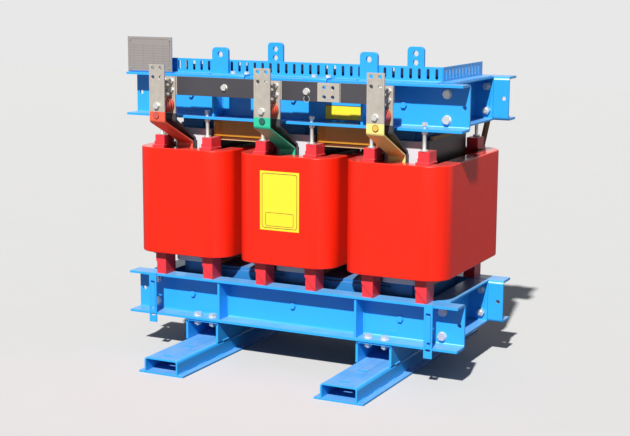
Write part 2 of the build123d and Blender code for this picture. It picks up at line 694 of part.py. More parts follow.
def neutral_sleeve(x0, x1):
    """Shrunk sleeve round the neutral bar, open where a support bolt passes."""
    g, h = SLEEVE_FIT + SLEEVE_T, SLEEVE_FIT
    z0, z1 = NEUTRAL_Z - BAR_W / 2, NEUTRAL_Z + BAR_W / 2
    jacket = box(x0, x1, -NEUTRAL_Y - g, -NEUTRAL_Y + BAR_T + g, z0 - g, z1 + g)
    jacket -= box(x0 - 5, x1 + 5, -NEUTRAL_Y - h, -NEUTRAL_Y + BAR_T + h, z0 - h, z1 + h)
    for x in NEUTRAL_SUPPORT_X:
        jacket -= rod_y(x, NEUTRAL_Z, -NEUTRAL_Y - 15, -NEUTRAL_Y + 20, NEUTRAL_INS_D + 2)
    return jacket


clear = BAR_W / 2 + 4.0
for x0, x1 in (
    (-PITCH + BAR_X + clear, BAR_X - clear),
    (BAR_X + clear, NEUTRAL_PAD_X - NEUTRAL_PAD_W / 2 - 2.0),
    (NEUTRAL_PAD_X + NEUTRAL_PAD_W / 2 + 2.0, PITCH + BAR_X - clear),
):
    sleeves.append(neutral_sleeve(x0, x1))
save(group(sleeves), "bar_sleeves")
pad = box(NEUTRAL_PAD_X - NEUTRAL_PAD_W / 2, NEUTRAL_PAD_X + NEUTRAL_PAD_W / 2,
          -NEUTRAL_Y - BAR_T, -NEUTRAL_Y, NEUTRAL_Z - BAR_W / 2, NEUTRAL_Z + BAR_W / 2)
for dx, dz in pad_holes:
    pad -= rod_y(NEUTRAL_PAD_X + dx, NEUTRAL_Z + dz, -NEUTRAL_Y - 15, -NEUTRAL_Y + 5, BAR_HOLE_D)
save(pad, "neutral_terminal_pad")

INS_BACK = -NEUTRAL_Y + BAR_T + NEUTRAL_INS_L
neutral_ins, brackets, bracket_bolts = [], [], []
for x in NEUTRAL_SUPPORT_X:
    y0 = -NEUTRAL_Y + BAR_T
    body = rod_y(x, NEUTRAL_Z, y0, INS_BACK, NEUTRAL_INS_D - 8)
    for k in range(3):
        c = y0 + (k + 0.5) * NEUTRAL_INS_L / 3
        body += rod_y(x, NEUTRAL_Z, c - 4, c + 4, NEUTRAL_INS_D)
    body -= rod_y(x, NEUTRAL_Z, y0 - 1, INS_BACK + 1, 12 + 2 * FIT)
    neutral_ins.append(body)
    ins_bolts.append(bolt_y(x, NEUTRAL_Z, -NEUTRAL_Y, INS_BACK + BRACKET_T, 12, -1))
    h = BRACKET_T / 2
    line = [(-CLAMP_WEB_Y - 8, Z_TOP1 + h), (INS_BACK + h, Z_TOP1 + h), (INS_BACK + h, NEUTRAL_Z - 34)]
    half = NEUTRAL_BRACKET_W / 2
    shape = bent(line, BRACKET_T, 1.0, "yz", x - half, x + half)
    shape -= rod_y(x, NEUTRAL_Z, INS_BACK - 5, INS_BACK + 15, 12 + 2 * FIT)
    for dx in (-BRACKET_BOLT_DX, BRACKET_BOLT_DX):
        y = -BRACKET_BOLT_Y
        shape -= rod_z(x + dx, y, Z_TOP1 - 5, Z_TOP1 + 15, BRACKET_BOLT_D + 2 * FIT)
        bracket_bolts.append(bolt_z(x + dx, y, Z_TOP1 + BRACKET_T, Z_TOP1 - CLAMP_T, BRACKET_BOLT_D))
    brackets.append(shape)
save(group(ins_phase + neutral_ins), "lv_insulators")
save(group(brackets), "neutral_brackets")
save(group(bracket_bolts), "bracket_bolts")
save(group(ins_bolts), "lv_bar_bolts")

# ---------------------------------------------------------------- slotted tray
tray_z = Z_TOP1 + TRAY_T / 2
line = [(-TRAY_FOOT_Y, tray_z), (-TRAY_Y - TRAY_T / 2, tray_z), (-TRAY_Y - TRAY_T / 2, Z_TOP1 + TRAY_H)]
tray = bent(line, TRAY_T, 2.0, "yz", -TRAY_X, TRAY_X)
for k in range(-17, 18):
    slot = Pos(SLOT_PITCH * k, -TRAY_Y, Z_TOP1 + 27) * Rot(90, 0, 0) * Rot(0, 0, 90)
    tray -= slot * extrude(SlotOverall(SLOT_H, SLOT_W), 20, both=True)
for sx in (-1, 1):
    x = sx * LUG_X
    tray -= box(x - lug_gap, x + lug_gap, -TRAY_FOOT_Y - 1, -CLAMP_WEB_Y + 1, Z_TOP1 - 1, Z_TOP1 + 8)
for x in NEUTRAL_SUPPORT_X:
    half = NEUTRAL_BRACKET_W / 2 + FIT
    tray -= box(x - half, x + half, -TRAY_FOOT_Y - 1, -CLAMP_WEB_Y - 8 + FIT, Z_TOP1 - 1, Z_TOP1 + 8)
save(tray, "tray_front")

end_x = TRAY_X + TRAY_T / 2
line = [(end_x, Z_TOP1 + TRAY_H), (end_x, tray_z), (TRAY_X + TRAY_BASE, tray_z)]
end_tray = bent(line, TRAY_T, 2.0, "xz", -TRAY_Y, TRAY_Y - 12)
for k in range(11):
    slot = Pos(TRAY_X, -TRAY_Y + 28 + SLOT_PITCH * k, Z_TOP1 + 27) * Rot(0, 90, 0)
    end_tray -= slot * extrude(SlotOverall(SLOT_H, SLOT_W), 20, both=True)
save(group([end_tray, other_end(end_tray)]), "tray_ends")

# ---------------------------------------------------------------- lifting lugs


def lug(x):
    """Lifting plate welded to the clamp web through the top flange."""
    z1 = Z_TOP1 + LUG_H
    z0 = Z_TOP1 - LUG_FOOT
    y = -CLAMP_WEB_Y - LUG_T
    body = box(x - LUG_W / 2, x + LUG_W / 2, y, -CLAMP_WEB_Y, z0, z1)
    tops = body.edges().filter_by(Axis.Y).group_by(Axis.Z)[-1]
    body = fillet(tops, LUG_R)
    body -= rod_y(x, z1 - LUG_HOLE_Z, y - 5, -CLAMP_WEB_Y + 5, LUG_HOLE_D)
    return body


front_lugs, rear_lugs = [], []
for sx in (-1, 1):
    piece = lug(sx * LUG_X)
    front_lugs.append(piece)
    second = rod_y(sx * LUG_X, Z_TOP1 + LUG_H - LUG_HOLE_Z - LUG_HOLE_DZ,
                   -CLAMP_WEB_Y - LUG_T - 5, -CLAMP_WEB_Y + 5, LUG_HOLE_D)
    rear_lugs.append(rear(piece - second))
save(group(front_lugs + rear_lugs), "lifting_lugs")

# ---------------------------------------------------------------- plates
NAME_Y = FLANGE_Y - 14.0
NAME_X0 = -CLAMP_LEN / 2
name_z0 = Z_TOP1 + 5
line = [(-TRAY_FOOT_Y - FIT, Z_TOP1 + 1.5), (-NAME_Y + 1.5, Z_TOP1 + 1.5), (-NAME_Y + 1.5, name_z0 + NAME_H)]
bracket = bent(line, 3.0, 1.5, "yz", NAME_X0, NAME_X0 + NAME_W)
corners = []
for dx in (10.0, NAME_W - 10.0):
    for dz in (10.0, NAME_H - 10.0):
        corners.append((NAME_X0 + dx, name_z0 + dz))
plate = box(NAME_X0, NAME_X0 + NAME_W, -NAME_Y - NAME_T, -NAME_Y, name_z0, name_z0 + NAME_H)
rivets = []
for x, z in corners:
    bracket -= rod_y(x, z, -NAME_Y - 5, -NAME_Y + 10, 4 + 2 * FIT)
    plate -= rod_y(x, z, -NAME_Y - 5, -NAME_Y + 10, 4 + 2 * FIT)
    rivet = rod_y(x, z, -NAME_Y - NAME_T, -NAME_Y + 5, 4)
    rivet += rod_y(x, z, -NAME_Y - NAME_T - 2, -NAME_Y - NAME_T, 8)
    rivets.append(rivet)
save(bracket, "nameplate_bracket")
save(plate, "nameplate")
save(group(rivets), "nameplate_rivets")

LABEL_X = 183.0
LABEL_Z = Z_TOP0 + CLAMP_T + 7 + LABEL_H / 2
label = box(LABEL_X - LABEL_W / 2, LABEL_X + LABEL_W / 2, -CLAMP_WEB_Y - 1.5, -CLAMP_WEB_Y,
            LABEL_Z - LABEL_H / 2, LABEL_Z + LABEL_H / 2)
save(label, "label_plate")

flat_y = -FLANGE_Y
flats = []
for sx in (-1, 1):
    x = sx * FLAT_X
    z0 = Z_LOW0 - FLAT_DROP
    flat = box(x - FLAT_W / 2, x + FLAT_W / 2, flat_y - FLAT_T, flat_y, z0, Z_LOW1 + 2)
    for z in (z0 + 27, z0 + 50, Z_LOW1 - 31):
        slot = Pos(x, flat_y, z) * Rot(90, 0, 0)
        flat -= slot * extrude(SlotOverall(FLAT_SLOT[0], 8.0), 20, both=True)
    flats.append(flat)
save(group(flats), "slotted_flats")

# ---------------------------------------------------------------- sheets
gap = LV_W / 2 + FIT
sheets, edge_strips = [], []
sheet_y = CLAMP_WEB_Y + 3.0
for lx in (-PITCH, 0.0):
    x0, x1 = lx + gap + SHEET_T / 2, lx + PITCH - gap - SHEET_T / 2
    leg = CORE_D / 2 + 2.0
    line = [(x0, -leg), (x0, -sheet_y), (x1, -sheet_y), (x1, -leg)]
    sheet = bent(line, SHEET_T, 16.0, "xy", Z_TOP0 - FIT - SHEET_H, Z_TOP0 - FIT)
    sheets += [sheet, rear(sheet)]
    z1 = Z_TOP0 - FIT - SHEET_H - 4.0
    strip = box(lx + gap, lx + PITCH - gap, -LV_D / 2 + 4, -leg, z1 - STRIP_H, z1)
    edge_strips += [strip, rear(strip)]
save(group(sheets), "barrier_sheets")
save(group(edge_strips), "barrier_strips")

sheet_w, sheet_h, sheet_t = LABEL_COIL
coil_label = box(-sheet_w / 2 - 4, sheet_w / 2 - 4, -HV_BACK - sheet_t, -HV_BACK,
                 Z_HV_MID + 34 - sheet_h / 2, Z_HV_MID + 34 + sheet_h / 2)
save(coil_label, "coil_label")

# ---------------------------------------------------------------- high-voltage side
Y_BOSS = HV_BACK + BOSS_L
TAB_T = 4.0
PLANE_0 = Y_BOSS + HV_TAB_CLEAR
POST_L = PLANE_0 - POST_STUD - CLAMP_WEB_Y
PLANE_1 = PLANE_0 + 20.0
PLANE_2 = PLANE_1 + 20.0
NUT_AF = 1.5 * HV_STUD_D


def tap_studs(lx):
    """Six tapping studs with nuts, and the link across two of them."""
    face = HV_BACK + PANEL[2]
    out = []
    for dx in (-TAP_X, TAP_X):
        for dz in (-TAP_Z, 0.0, TAP_Z):
            x, z = lx + dx, Z_HV_MID + dz
            linked = dz == 0.0
            lift = face + 8 + (3.0 if linked else 0.0)
            stud = hex_y(x, z, face, face + 8, 1.6 * TAP_D)
            stud += rod_y(x, z, face, face + 24, TAP_D)
            if linked:
                stud += hex_y(x, z, lift, lift + 7, 1.6 * TAP_D)
            out.append(stud)
    link = box(lx - TAP_X - 10, lx + TAP_X + 10, face + 8, face + 11, Z_HV_MID - 10, Z_HV_MID + 10)
    for dx in (-TAP_X, TAP_X):
        link -= rod_y(lx + dx, Z_HV_MID, face, face + 20, TAP_D + 2 * FIT)
    return out, link


def link_rod(p0, p1, y):
    """Sleeved rod in a plane of constant Y with a flat, holed tab at each end."""
    dx, dz = p1[0] - p0[0], p1[1] - p0[1]
    ln = math.hypot(dx, dz)
    turn = math.degrees(math.atan2(dz, dx))
    body = Rot(0, 90, 0) * Cylinder(HV_ROD_D / 2, ln - 50)
    tab = Box(ln, TAB_T, 20.0)
    body += tab
    for end in (-ln / 2, ln / 2):
        body += Pos(end, 0, 0) * Rot(90, 0, 0) * Cylinder(10.0, TAB_T)
        body -= Pos(end, 0, 0) * Rot(90, 0, 0) * Cylinder(HV_STUD_D / 2 + FIT, 20)
    body = Rot(0, -turn, 0) * body
    return Pos((p0[0] + p1[0]) / 2, y, (p0[1] + p1[1]) / 2) * body


def terminal(x, z, start, planes):
    """Stud with a spacer nut up to each tab and a nut over the last one."""
    out = rod_y(x, z, start, planes[-1] + TAB_T / 2 + 12, HV_STUD_D)
    here = start
    for y in planes:
        out += hex_y(x, z, here, y - TAB_T / 2, NUT_AF)
        here = y + TAB_T / 2
    return out + hex_y(x, z, here, here + 9, NUT_AF)


tops, bottoms, post_at = {}, {}, {}
posts, taps, links = [], [], []
post_z = Z_TOP_MID + POST_Z
for phase, lx in LIMBS.items():
    side = HV_SIDE[phase]
    tops[phase] = (lx + side * BOSS_X, Z_HV1 - BOSS_Z)
    bottoms[phase] = (lx - side * BOSS_X, Z_HV0 + BOSS_Z)
    post_at[phase] = (lx + side * POST_X, post_z)
    x = post_at[phase][0]
    post = rod_y(x, post_z, CLAMP_WEB_Y, CLAMP_WEB_Y + POST_L, POST_D - 10)
    for k in range(6):
        c = CLAMP_WEB_Y + (k + 0.5) * POST_L / 6
        post += rod_y(x, post_z, c - 5, c + 5, POST_D)
    posts.append(post)
    group_studs, link = tap_studs(lx)
    taps += group_studs
    links.append(link)
save(group(posts), "hv_posts")
save(group(taps), "hv_tap_studs")
save(group(links), "hv_tap_links")

rods = [
    link_rod(bottoms["u"], tops["v"], PLANE_1),
    link_rod(bottoms["v"], tops["w"], PLANE_1),
    link_rod(bottoms["w"], tops["u"], PLANE_2),
]
ends = [
    terminal(*tops["u"], Y_BOSS, [PLANE_0, PLANE_2]),
    terminal(*tops["v"], Y_BOSS, [PLANE_0, PLANE_1]),
    terminal(*tops["w"], Y_BOSS, [PLANE_0, PLANE_1]),
    terminal(*bottoms["u"], Y_BOSS, [PLANE_1]),
    terminal(*bottoms["v"], Y_BOSS, [PLANE_1]),
    terminal(*bottoms["w"], Y_BOSS, [PLANE_2]),
]
for phase in LIMBS:
    rods.append(link_rod(tops[phase], post_at[phase], PLANE_0))
    ends.append(terminal(*post_at[phase], CLAMP_WEB_Y + POST_L, [PLANE_0]))
save(group(rods), "hv_connections")
save(group(ends), "hv_terminals")
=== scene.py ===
import math

import bmesh
import bpy
from mathutils import Matrix, Vector


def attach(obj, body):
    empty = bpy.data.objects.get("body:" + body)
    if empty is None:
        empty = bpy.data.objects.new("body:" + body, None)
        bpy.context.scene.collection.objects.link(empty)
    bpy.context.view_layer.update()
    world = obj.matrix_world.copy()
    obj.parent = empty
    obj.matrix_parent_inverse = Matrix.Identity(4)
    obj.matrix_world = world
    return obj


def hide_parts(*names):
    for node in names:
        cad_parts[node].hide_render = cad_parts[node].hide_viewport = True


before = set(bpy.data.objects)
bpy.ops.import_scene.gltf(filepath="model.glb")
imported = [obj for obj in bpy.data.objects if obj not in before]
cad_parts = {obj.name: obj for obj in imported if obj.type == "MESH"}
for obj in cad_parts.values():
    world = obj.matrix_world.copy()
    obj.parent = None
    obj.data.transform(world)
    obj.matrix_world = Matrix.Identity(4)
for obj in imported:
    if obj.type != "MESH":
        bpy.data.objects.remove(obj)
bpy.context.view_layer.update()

# ------------------------------------------------------------------ the floor
# A plain pale floor under the feet, which catches the object's shadow.  It is pale
# to the camera and darker to other rays, so that shaded faces stay deep.
bpy.ops.mesh.primitive_plane_add(size=24.0, location=(0, 0, -0.0005))
floor = bpy.context.object
floor.name = "floor"
floor_finish = bpy.data.materials.new("floor_pale")
floor_finish.use_nodes = True
nodes, links = floor_finish.node_tree.nodes, floor_finish.node_tree.links
shader = nodes["Principled BSDF"]
shader.inputs["Roughness"].default_value = 0.85
noise = nodes.new("ShaderNodeTexNoise")
noise.inputs["Scale"].default_value = 6.0
ramp = nodes.new("ShaderNodeValToRGB")
ramp.color_ramp.elements[0].color = (0.53, 0.53, 0.525, 1)
ramp.color_ramp.elements[1].color = (0.545, 0.545, 0.54, 1)
place = nodes.new("ShaderNodeTexCoord")
links.new(place.outputs["Object"], noise.inputs["Vector"])
links.new(noise.outputs["Fac"], ramp.inputs["Fac"])
path = nodes.new("ShaderNodeLightPath")
seen = nodes.new("ShaderNodeMix")
seen.data_type = "RGBA"
seen.inputs["A"].default_value = (0.15, 0.15, 0.16, 1)
links.new(path.outputs["Is Camera Ray"], seen.inputs["Factor"])
links.new(ramp.outputs["Color"], seen.inputs["B"])
links.new(seen.outputs["Result"], shader.inputs["Base Color"])
floor.data.materials.append(floor_finish)


# ------------------------------------------------------------------ shared finish
# Two effects that most of the surfaces share.  "uneven" gives a slow tone drift
# and a fine grain; "settled" gives a mask for dust that lies on upward faces.
def socket_group(name, inputs, outputs):
    """An empty shader node group with float inputs and named outputs."""
    tree = bpy.data.node_groups.new(name, "ShaderNodeTree")
    for label, value in inputs:
        item = tree.interface.new_socket(label, in_out="INPUT", socket_type="NodeSocketFloat")
        item.default_value = value
    for label, kind in outputs:
        tree.interface.new_socket(label, in_out="OUTPUT", socket_type=kind)
    return tree, tree.nodes.new("NodeGroupInput"), tree.nodes.new("NodeGroupOutput")


def step(tree, operation, *feeds):
    """One math node; each feed is a socket or a number."""
    node = tree.nodes.new("ShaderNodeMath")
    node.operation = operation
    for index, feed in enumerate(feeds):
        if isinstance(feed, (int, float)):
            node.inputs[index].default_value = feed
        else:
            tree.links.new(feed, node.inputs[index])
    return node.outputs["Value"]


def ranged(tree, value, start, end, low=0.0, high=1.0):
    """One map-range node from start..end to low..high; returns its result socket."""
    node = tree.nodes.new("ShaderNodeMapRange")
    for label, number in (("From Min", start), ("From Max", end), ("To Min", low), ("To Max", high)):
        node.inputs[label].default_value = number
    tree.links.new(value, node.inputs["Value"])
    return node.outputs["Result"]


def coordinate(tree, source, socket, axis):
    """One axis of a vector output, such as the Normal of a geometry node."""
    node = tree.nodes.new(source)
    split = tree.nodes.new("ShaderNodeSeparateXYZ")
    tree.links.new(node.outputs[socket], split.inputs["Vector"])
    return split.outputs[axis]


def over_base(tree, factor, tone, covered=None):
    """Lays a tone over a material's base colour where the factor is 1."""
    shader = tree.nodes["Principled BSDF"]
    mix = tree.nodes.new("ShaderNodeMix")
    mix.data_type = "RGBA"
    under = shader.inputs["Base Color"].links[0].from_socket
    tree.links.new(factor, mix.inputs["Factor"])
    tree.links.new(under, mix.inputs["A"])
    if covered is None:
        mix.inputs["B"].default_value = (*tone, 1)
    else:
        tree.links.new(covered, mix.inputs["B"])
    tree.links.new(mix.outputs["Result"], shader.inputs["Base Color"])


uneven, uneven_in, uneven_out = socket_group(
    "uneven",
    [("Drift Scale", 2.5), ("Grain Scale", 400.0)],
    [("Drift", "NodeSocketFloat"), ("Grain", "NodeSocketFloat")],
)
place = uneven.nodes.new("ShaderNodeTexCoord")
for label, detail in (("Drift", 3.0), ("Grain", 2.0)):
    noise = uneven.nodes.new("ShaderNodeTexNoise")
    noise.inputs["Detail"].default_value = detail
    uneven.links.new(place.outputs["Object"], noise.inputs["Vector"])
    uneven.links.new(uneven_in.outputs[label + " Scale"], noise.inputs["Scale"])
    uneven.links.new(noise.outputs["Fac"], uneven_out.inputs[label])

settled, settled_in, settled_out = socket_group(
    "settled", [("Amount", 0.5)], [("Mask", "NodeSocketFloat")]
)
facing_up = coordinate(settled, "ShaderNodeNewGeometry", "Normal", "Z")
place = settled.nodes.new("ShaderNodeTexCoord")
patch = settled.nodes.new("ShaderNodeTexNoise")
patch.inputs["Scale"].default_value = 14.0
patch.inputs["Detail"].default_value = 6.0
settled.links.new(place.outputs["Object"], patch.inputs["Vector"])
patchy = step(settled, "MULTIPLY", ranged(settled, facing_up, 0.75, 1.0), patch.outputs["Fac"])
settled.links.new(
    step(settled, "MULTIPLY", patchy, settled_in.outputs["Amount"]), settled_out.inputs["Mask"]
)


def finish(name, dark, light, rough, bump, drift=2.5, grain=400.0, dust=0.35, **fixed):
    """A procedural finish: two tones, roughness between two values, fine relief."""
    made = bpy.data.materials.new(name)
    made.use_nodes = True
    tree = made.node_tree
    shader = tree.nodes["Principled BSDF"]
    for label, value in fixed.items():
        shader.inputs[label.replace("_", " ")].default_value = value
    effect = tree.nodes.new("ShaderNodeGroup")
    effect.node_tree = uneven
    effect.inputs["Drift Scale"].default_value = drift
    effect.inputs["Grain Scale"].default_value = grain
    tone = tree.nodes.new("ShaderNodeMix")
    tone.data_type = "RGBA"
    tone.inputs["A"].default_value = (*dark, 1)
    tone.inputs["B"].default_value = (*light, 1)
    tree.links.new(effect.outputs["Drift"], tone.inputs["Factor"])
    cover = tree.nodes.new("ShaderNodeGroup")
    cover.node_tree = settled
    cover.inputs["Amount"].default_value = dust
    over = tree.nodes.new("ShaderNodeMix")
    over.data_type = "RGBA"
    over.inputs["B"].default_value = (0.62, 0.60, 0.56, 1)
    tree.links.new(cover.outputs["Mask"], over.inputs["Factor"])
    tree.links.new(tone.outputs["Result"], over.inputs["A"])
    tree.links.new(over.outputs["Result"], shader.inputs["Base Color"])
    gloss = ranged(tree, effect.outputs["Grain"], 0.3, 0.7, *rough)
    tree.links.new(gloss, shader.inputs["Roughness"])
    relief = tree.nodes.new("ShaderNodeBump")
    relief.inputs["Strength"].default_value = bump
    relief.inputs["Distance"].default_value = 0.0006
    tree.links.new(effect.outputs["Grain"], relief.inputs["Height"])
    tree.links.new(relief.outputs["Normal"], shader.inputs["Normal"])
    return made


def dress(names, material, edge=0.0008):
    """Gives CAD nodes a finish and softens their edges."""
    for name in names:
        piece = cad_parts[name]
        piece.data.materials.clear()
        piece.data.materials.append(material)
        weld = piece.modifiers.new("weld", "WELD")
        weld.merge_threshold = 0.00002
        round_off = piece.modifiers.new("soft_edges", "BEVEL")
        round_off.width = edge
        round_off.segments = 2
        round_off.limit_method = "ANGLE"
        round_off.angle_limit = math.radians(35)
        round_off.harden_normals = True


# ------------------------------------------------------------------ steelwork
# Bright blue enamel on the feet, spacers, clamps, end members and lugs, with a
# slight orange peel and a little dust on the upper faces.
enamel = finish(
    "blue_enamel", (0.016, 0.285, 0.700), (0.026, 0.335, 0.790), (0.30, 0.42), 0.10,
    grain=260.0,
)
dress(
    [
        "skid_foot_left", "skid_foot_right", "foot_spacer_left", "foot_spacer_right",
        "bottom_clamp_front", "bottom_clamp_rear", "top_clamp_front", "top_clamp_rear",
        "bottom_end_member_left", "bottom_end_member_right",
        "top_end_member_left", "top_end_member_right",
        "lifting_lugs", "tray_front", "neutral_brackets",
        "nameplate_bracket", "slotted_flats", "tie_bolts",
    ],
    enamel,
)

# The tray's returns: the right one is whole, the left one a short stub behind the
# bare plate.  A near-black inner wall, its colour painted shade, darkens the slots
# but for a few gaps.
stub_y, wall_y, wall_half = -0.179, -0.155, 0.520
wall_low, wall_notch, wall_top = 0.9935, 1.0190, 1.0360
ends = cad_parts["tray_ends"]
cut = bmesh.new()
cut.from_mesh(ends.data)
cut.transform(ends.matrix_world)
bmesh.ops.remove_doubles(cut, verts=cut.verts, dist=0.00002)
left = [vert for vert in cut.verts if vert.co.x < 0]
left += [item for part in (cut.edges, cut.faces) for item in part if item.verts[0].co.x < 0]
bmesh.ops.bisect_plane(
    cut, geom=left, plane_co=(0, stub_y, 0), plane_no=(0, 1, 0), clear_outer=True
)
bmesh.ops.holes_fill(cut, edges=[edge for edge in cut.edges if edge.is_boundary], sides=0)
bmesh.ops.recalc_face_normals(cut, faces=cut.faces)
shape = bpy.data.meshes.new("tray_returns")
cut.to_mesh(shape)
cut.free()
shape.materials.append(enamel)
returns = bpy.data.objects.new("tray_returns", shape)
bpy.context.collection.objects.link(returns)
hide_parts("tray_ends")
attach(returns, "root")

# Painted shade: a near-black navy that stands for the shade seen through the slots.
shaded = finish("painted_shade_wall_finish", (0.003, 0.010, 0.045), (0.005, 0.014, 0.058), (0.5, 0.65), 0.1)
gaps = (
    (-0.473, -0.465), (-0.450, -0.444), (-0.419, -0.407), (-0.382, -0.376), (-0.232, -0.225),
    (-0.206, -0.199), (0.101, 0.107), (0.129, 0.137), (0.342, 0.348),
)
walls, at_x = [], -wall_half
for index, (start_x, end_x) in enumerate(gaps):
    walls.append((at_x, start_x, wall_low, wall_top))
    if index > 1:
        walls.append((start_x, end_x, wall_low, wall_notch))
    at_x = end_x
walls.append((at_x, wall_half, wall_low, wall_top))
cut = bmesh.new()
for x0, x1, z0, z1 in walls:
    made = bmesh.ops.create_cube(cut, size=1.0)["verts"]
    bmesh.ops.scale(cut, verts=made, vec=(x1 - x0, 0.002, z1 - z0))
    bmesh.ops.translate(cut, verts=made, vec=((x0 + x1) / 2, wall_y, (z0 + z1) / 2))
shape = bpy.data.meshes.new("tray_painted_shade_wall")
cut.to_mesh(shape)
cut.free()
shape.materials.append(shaded)
inner = bpy.data.objects.new("tray_painted_shade_wall", shape)
bpy.context.collection.objects.link(inner)
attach(inner, "root")

# Weld beads where the ribs and lugs meet the clamps and in stitches along the
# feet.  Small rounded ripples follow each run, painted over with the same enamel.
low_rib, top_rib, lug_half = 0.262, 0.278, 0.031
web_y, lug_y, lug_z, foot_x, foot_half = 0.1958, 0.2078, 0.9905, 0.33, 0.0655
runs = []
for rib, low, high in ((low_rib, 0.146, 0.264), (top_rib, 0.856, 0.974)):
    for side in (-1, 1):
        for face in (-1, 1):
            for edge in (-0.0045, 0.0045):
                x = side * rib + edge
                if rib < 0.27 or face > 0 or edge > 0:
                    runs.append(((x, face * web_y, low), (x, face * web_y, high)))
for side in (-1, 1):
    for face in (-1, 1):
        for edge in (-0.0325, 0.0325):
            x = side * top_rib + edge
            runs.append(((x, face * 0.1955, lug_z), (x, face * 0.2075, lug_z)))
        lug = side * top_rib
        runs.append(((lug - lug_half, face * lug_y, lug_z), (lug + lug_half, face * lug_y, lug_z)))
    for edge in (-foot_half, foot_half):
        x = side * foot_x + edge
        for stitch in range(-4, 5):
            y = stitch * 0.122
            runs.append(((x, y - 0.025, 0.0066), (x, y + 0.025, 0.0066)))
        x = side * foot_x + edge * 0.995
        for y in (-0.2, -0.07, 0.07, 0.2):
            runs.append(((x, y - 0.02, 0.0556), (x, y + 0.02, 0.0556)))
points = [point for run in runs for point in run]
paths = bpy.data.meshes.new("weld_beads")
paths.from_pydata(points, [(2 * i, 2 * i + 1) for i in range(len(runs))], [])
beads = bpy.data.objects.new("weld_beads", paths)
bpy.context.collection.objects.link(beads)
rippled = bpy.data.node_groups.new("weld_ripples", "GeometryNodeTree")
rippled.interface.new_socket("Geometry", in_out="INPUT", socket_type="NodeSocketGeometry")
for label, value in (("Spacing", 0.0030), ("Radius", 0.0026)):
    item = rippled.interface.new_socket(label, in_out="INPUT", socket_type="NodeSocketFloat")
    item.default_value = value
seed = rippled.interface.new_socket("Seed", in_out="INPUT", socket_type="NodeSocketInt")
seed.default_value = 7
rippled.interface.new_socket("Geometry", in_out="OUTPUT", socket_type="NodeSocketGeometry")
start = rippled.nodes.new("NodeGroupInput")
end = rippled.nodes.new("NodeGroupOutput")
curve = rippled.nodes.new("GeometryNodeMeshToCurve")
spaced = rippled.nodes.new("GeometryNodeCurveToPoints")
spaced.mode = "LENGTH"
ball = rippled.nodes.new("GeometryNodeMeshIcoSphere")
ball.inputs["Subdivisions"].default_value = 2
chance = rippled.nodes.new("FunctionNodeRandomValue")
chance.data_type = "FLOAT"
chance.inputs[2].default_value = 0.8
chance.inputs[3].default_value = 1.15
put = rippled.nodes.new("GeometryNodeInstanceOnPoints")
real = rippled.nodes.new("GeometryNodeRealizeInstances")
coat = rippled.nodes.new("GeometryNodeSetMaterial")
coat.inputs["Material"].default_value = enamel
rippled.links.new(start.outputs["Geometry"], curve.inputs["Mesh"])
rippled.links.new(curve.outputs["Curve"], spaced.inputs["Curve"])
rippled.links.new(start.outputs["Spacing"], spaced.inputs["Length"])
rippled.links.new(start.outputs["Radius"], ball.inputs["Radius"])
rippled.links.new(start.outputs["Seed"], chance.inputs["Seed"])
rippled.links.new(spaced.outputs["Points"], put.inputs["Points"])
rippled.links.new(ball.outputs["Mesh"], put.inputs["Instance"])
rippled.links.new(chance.outputs[1], put.inputs["Scale"])
rippled.links.new(put.outputs["Instances"], real.inputs["Geometry"])
rippled.links.new(real.outputs["Geometry"], coat.inputs["Geometry"])
rippled.links.new(coat.outputs["Geometry"], end.inputs["Geometry"])
maker = beads.modifiers.new("ripples", "NODES")
maker.node_group = rippled
for item in rippled.interface.items_tree:
    if item.in_out == "INPUT" and item.name == "Seed":
        maker[item.identifier] = 7
depsgraph = bpy.context.evaluated_depsgraph_get()
solid = bpy.data.meshes.new_from_object(beads.evaluated_get(depsgraph))
beads.modifiers.clear()
beads.data = solid
for face in solid.polygons:
    face.use_smooth = True
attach(beads, "root")

# ------------------------------------------------------------------ core
# Stacked yokes and limbs under a duller coat of the same blue; the edges of the
# laminations show through it as fine lines.
core_paint = finish("core_paint", (0.010, 0.14, 0.38), (0.018, 0.18, 0.46), (0.45, 0.6), 0.2)
tree = core_paint.node_tree
place = tree.nodes.new("ShaderNodeTexCoord")
sheets = tree.nodes.new("ShaderNodeTexWave")
sheets.bands_direction = "Y"
sheets.inputs["Scale"].default_value = 160.0
sheets.inputs["Distortion"].default_value = 0.6
lines = tree.nodes.new("ShaderNodeBump")
lines.inputs["Strength"].default_value = 0.35
lines.inputs["Distance"].default_value = 0.0008
tree.links.new(place.outputs["Object"], sheets.inputs["Vector"])
tree.links.new(sheets.outputs["Fac"], lines.inputs["Height"])
tree.links.new(tree.nodes["Bump"].outputs["Normal"], lines.inputs["Normal"])
tree.links.new(lines.outputs["Normal"], tree.nodes["Principled BSDF"].inputs["Normal"])
dress(["core", "top_yoke", "tie_plates"], core_paint)
board = finish("pressed_board", (0.42, 0.30, 0.14), (0.56, 0.42, 0.22), (0.6, 0.75), 0.2)
dress(["packing", "barrier_strips"], board, 0.0004)

# ------------------------------------------------------------------ coils
# Cast resin: a saturated orange red with faint level streaks and a glossier
# poured top.  The inner coil is pale; its sides that face the row's ends are
# painted near black as shade.
resin = finish(
    "coil_resin", (0.70, 0.012, 0.002), (0.78, 0.018, 0.004), (0.36, 0.46), 0.08,
    drift=1.2, grain=120.0, dust=0.15, Specular_IOR_Level=0.35,
)
tree = resin.node_tree
place = tree.nodes.new("ShaderNodeTexCoord")
stretch = tree.nodes.new("ShaderNodeMapping")
stretch.inputs["Scale"].default_value = (2.0, 2.0, 60.0)
streak = tree.nodes.new("ShaderNodeTexNoise")
streak.inputs["Scale"].default_value = 3.0
streak.inputs["Detail"].default_value = 4.0
level = tree.nodes.new("ShaderNodeBump")
level.inputs["Strength"].default_value = 0.22
level.inputs["Distance"].default_value = 0.0015
tree.links.new(place.outputs["Object"], stretch.inputs["Vector"])
tree.links.new(stretch.outputs["Vector"], streak.inputs["Vector"])
